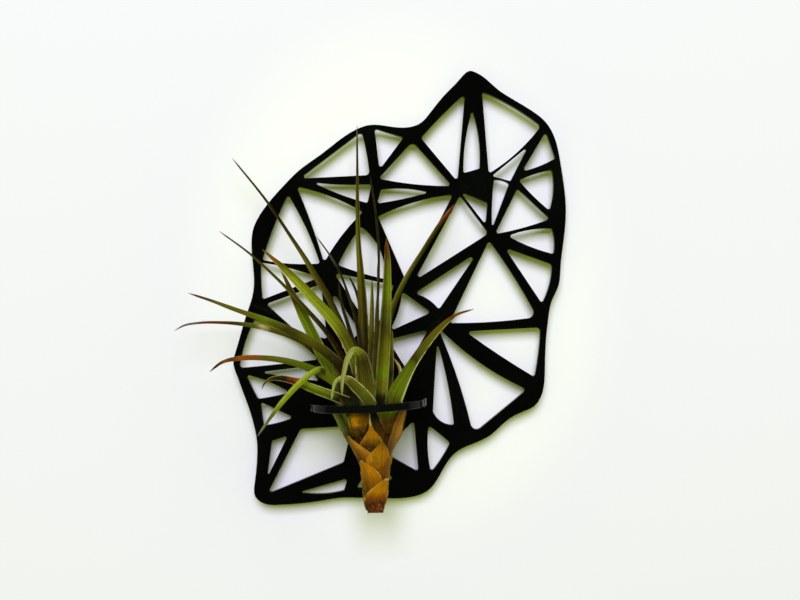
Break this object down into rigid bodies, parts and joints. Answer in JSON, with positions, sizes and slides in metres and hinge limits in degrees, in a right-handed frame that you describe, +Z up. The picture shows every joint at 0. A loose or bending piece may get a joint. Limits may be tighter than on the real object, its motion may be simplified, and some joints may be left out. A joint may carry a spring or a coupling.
{
  "type": "air plant holder",
  "caption": "Wall-hung lattice panel of black sheet with a round shelf on its front that holds a bare-rooted air plant by its stem.",
  "frame": {"origin": "middle of the back face of the top adhesive pad, on the wall", "axes": "+X to the right seen from the front, +Z up, -Y out of the wall towards the viewer"},
  "size_m": [0.1758, 0.0615, 0.1911],
  "materials": {
    "black_sheet": "cast black sheet, glossy faces and flame-bright laser-cut edges",
    "pad_foam": "white closed-cell foam with adhesive on both faces",
    "stem": "dry fibrous stem and root end",
    "dry_sheath": "dry papery orange-brown leaf sheath with pale edges",
    "leaf_bright": "smooth bright green leaf with a faint grey scale bloom",
    "leaf_olive": "thin olive leaf with a reddish brown tip"
  },
  "bodies": {
    "holder": {"lattice_panel": "black_sheet", "ring_shelf": "black_sheet", "spacer_disc_top": "black_sheet", "spacer_disc_left": "black_sheet", "spacer_disc_bottom": "black_sheet", "adhesive_pad_top": "pad_foam", "adhesive_pad_left": "pad_foam", "adhesive_pad_bottom": "pad_foam"},
    "air_plant": {"stem_core": "stem", "dry_sheath_left": "dry_sheath", "dry_sheath_right": "dry_sheath", "dry_sheath_back": "dry_sheath", "dry_sheath_front": "dry_sheath", "dry_sheath_front_low": "dry_sheath", "dry_sheath_low_left": "dry_sheath", "dry_sheath_low_back": "dry_sheath", "leaf_far_left_long": "leaf_olive", "leaf_left_thin": "leaf_olive", "leaf_left_broad": "leaf_bright", "leaf_left_short": "leaf_bright", "leaf_left_level": "leaf_olive", "leaf_left_faded": "leaf_olive", "leaf_left_low": "leaf_olive", "leaf_left_curled": "leaf_olive", "leaf_left_drooping": "leaf_bright", "leaf_upright_long": "leaf_olive", "leaf_upright_thin": "leaf_olive", "leaf_upright_broad": "leaf_bright", "leaf_upright_beside": "leaf_olive", "leaf_right_long": "leaf_olive", "leaf_right_broad": "leaf_bright", "leaf_right_small": "leaf_olive", "leaf_inner_thin": "leaf_olive", "leaf_inner_left": "leaf_olive", "leaf_inner_middle": "leaf_bright", "leaf_inner_right": "leaf_olive", "leaf_front_fold": "leaf_bright", "leaf_front_fold_low": "leaf_bright"}
  },
  "joints": [
    {"name": "plant_lift", "type": "slide", "parent": "holder", "child": "air_plant", "axis": [0, 0, 1], "range_m": [0, 0.21]}
  ]
}
